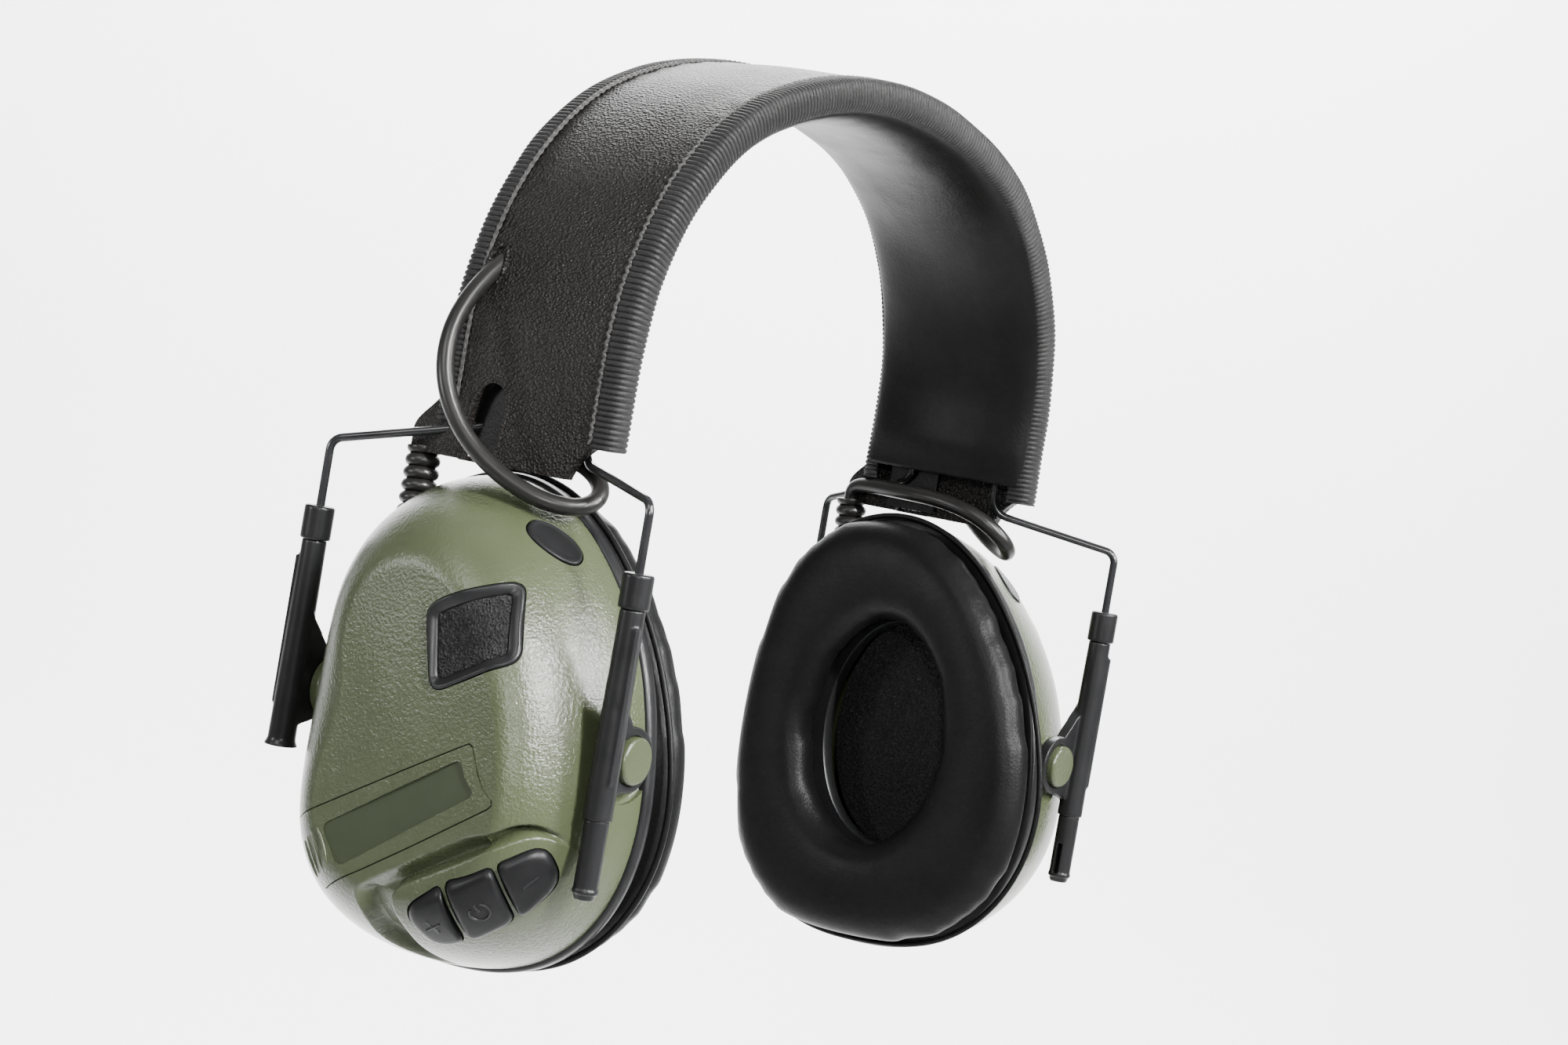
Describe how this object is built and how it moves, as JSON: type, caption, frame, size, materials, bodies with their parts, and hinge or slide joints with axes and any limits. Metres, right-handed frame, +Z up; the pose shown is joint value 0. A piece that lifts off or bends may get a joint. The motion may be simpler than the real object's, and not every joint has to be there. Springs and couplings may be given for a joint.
{
  "type": "electronic ear defender headset",
  "caption": "Over-ear electronic hearing-protection headset: padded headband on sprung wires, sliding arms, oval cups with cushions, microphone windows, slide-off battery door and keys.",
  "frame": {"origin": "midway between the two cups' pivot axes, level with them", "axes": "+X towards the wearer's left ear, -Y the way the wearer faces, +Z up"},
  "size_m": [0.2524, 0.0979, 0.2185],
  "materials": {
    "olive_plastic": "glossy moulded plastic with a very fine orange peel",
    "arm_plastic": "satin black moulded plastic",
    "wire": "glossy black coating over spring steel",
    "steel": "plain bright steel",
    "headband_leather": "pebbled black leatherette with a soft sheen",
    "leatherette": "smooth black leatherette over foam",
    "binding": "black ribbed woven tape with an overlocked inner edge",
    "cable": "smooth black cable jacket",
    "rubber": "matte black rubber",
    "foam": "open-cell black foam",
    "speaker_plastic": "plain black plastic",
    "cell_wrap": "plain grey cell wrap, no markings",
    "board": "green circuit board laminate"
  },
  "bodies": {
    "headband": {"spring_wire_front": "wire", "spring_wire_rear": "wire", "wire_stops": "steel", "headband_leather": "headband_leather", "headband_pad": "leatherette", "binding_front": "binding", "binding_rear": "binding", "band_lead": "cable", "right_lead": "cable", "left_lead": "cable"},
    "right_front_arm": {"right_arm_front": "arm_plastic", "right_arm_front_cap": "arm_plastic", "right_arm_guide": "arm_plastic"},
    "right_rear_arm": {"right_arm_rear": "arm_plastic", "right_arm_rear_cap": "arm_plastic"},
    "right_cup": {"right_shell": "olive_plastic", "right_base_plate": "arm_plastic", "right_cushion": "leatherette", "right_foam_liner": "foam", "right_mic_frame": "arm_plastic", "right_mic_foam": "foam", "right_mic_capsule": "steel", "right_port_plug": "rubber", "right_pivot_buttons": "olive_plastic", "right_lead_boot": "rubber", "right_screws": "steel", "right_speaker": "speaker_plastic", "battery_tray": "arm_plastic", "battery_cells": "cell_wrap", "battery_contacts": "steel", "key_switches": "speaker_plastic", "key_board": "board"},
    "battery_door": {"battery_door": "olive_plastic"},
    "key_plus": {"key_plus": "rubber"},
    "key_power": {"key_power": "rubber"},
    "key_minus": {"key_minus": "rubber"},
    "left_front_arm": {"left_arm_front": "arm_plastic", "left_arm_front_cap": "arm_plastic", "left_arm_guide": "arm_plastic"},
    "left_rear_arm": {"left_arm_rear": "arm_plastic", "left_arm_rear_cap": "arm_plastic"},
    "left_cup": {"left_shell": "olive_plastic", "left_base_plate": "arm_plastic", "left_cushion": "leatherette", "left_foam_liner": "foam", "left_mic_frame": "arm_plastic", "left_mic_foam": "foam", "left_mic_capsule": "steel", "left_port_plug": "rubber", "left_pivot_buttons": "olive_plastic", "left_lead_boot": "rubber", "left_screws": "steel", "left_speaker": "speaker_plastic", "jack_socket": "steel"}
  },
  "joints": [
    {"name": "right_height", "type": "slide", "parent": "headband", "child": "right_front_arm", "axis": [0, 0, -1], "range_m": [0, 0.02], "deforming": ["right_lead"]},
    {"name": "right_height_rear", "type": "slide", "parent": "headband", "child": "right_rear_arm", "axis": [0, 0, -1], "range_m": [0, 0.02]},
    {"name": "right_tilt", "type": "hinge", "parent": "right_front_arm", "child": "right_cup", "pos_m": [-0.096, 0, 0], "axis": [0, 1, 0], "range_deg": [-6, 6], "deforming": ["right_lead"]},
    {"name": "left_height", "type": "slide", "parent": "headband", "child": "left_front_arm", "axis": [0, 0, -1], "range_m": [0, 0.02], "deforming": ["left_lead"]},
    {"name": "left_height_rear", "type": "slide", "parent": "headband", "child": "left_rear_arm", "axis": [0, 0, -1], "range_m": [0, 0.02]},
    {"name": "left_tilt", "type": "hinge", "parent": "left_front_arm", "child": "left_cup", "pos_m": [0.096, 0, 0], "axis": [0, 1, 0], "range_deg": [-6, 6], "deforming": ["left_lead"]},
    {"name": "battery_door_slide", "type": "slide", "parent": "right_cup", "child": "battery_door", "axis": [0, 0.8712, -0.4909], "range_m": [0, 0.045]},
    {"name": "key_plus_press", "type": "slide", "parent": "right_cup", "child": "key_plus", "axis": [0.6823, 0.5318, 0.5017], "range_m": [0, 0.001], "stiffness_N_per_m": 900, "springref_m": -0.0003},
    {"name": "key_power_press", "type": "slide", "parent": "right_cup", "child": "key_power", "axis": [0.6823, 0.5318, 0.5017], "range_m": [0, 0.001], "stiffness_N_per_m": 900, "springref_m": -0.0003},
    {"name": "key_minus_press", "type": "slide", "parent": "right_cup", "child": "key_minus", "axis": [0.6823, 0.5318, 0.5017], "range_m": [0, 0.001], "stiffness_N_per_m": 900, "springref_m": -0.0003}
  ],
  "couplings": [
    {"joint": "right_height_rear", "follows": "right_height", "ratio": 1},
    {"joint": "left_height_rear", "follows": "left_height", "ratio": 1}
  ]
}
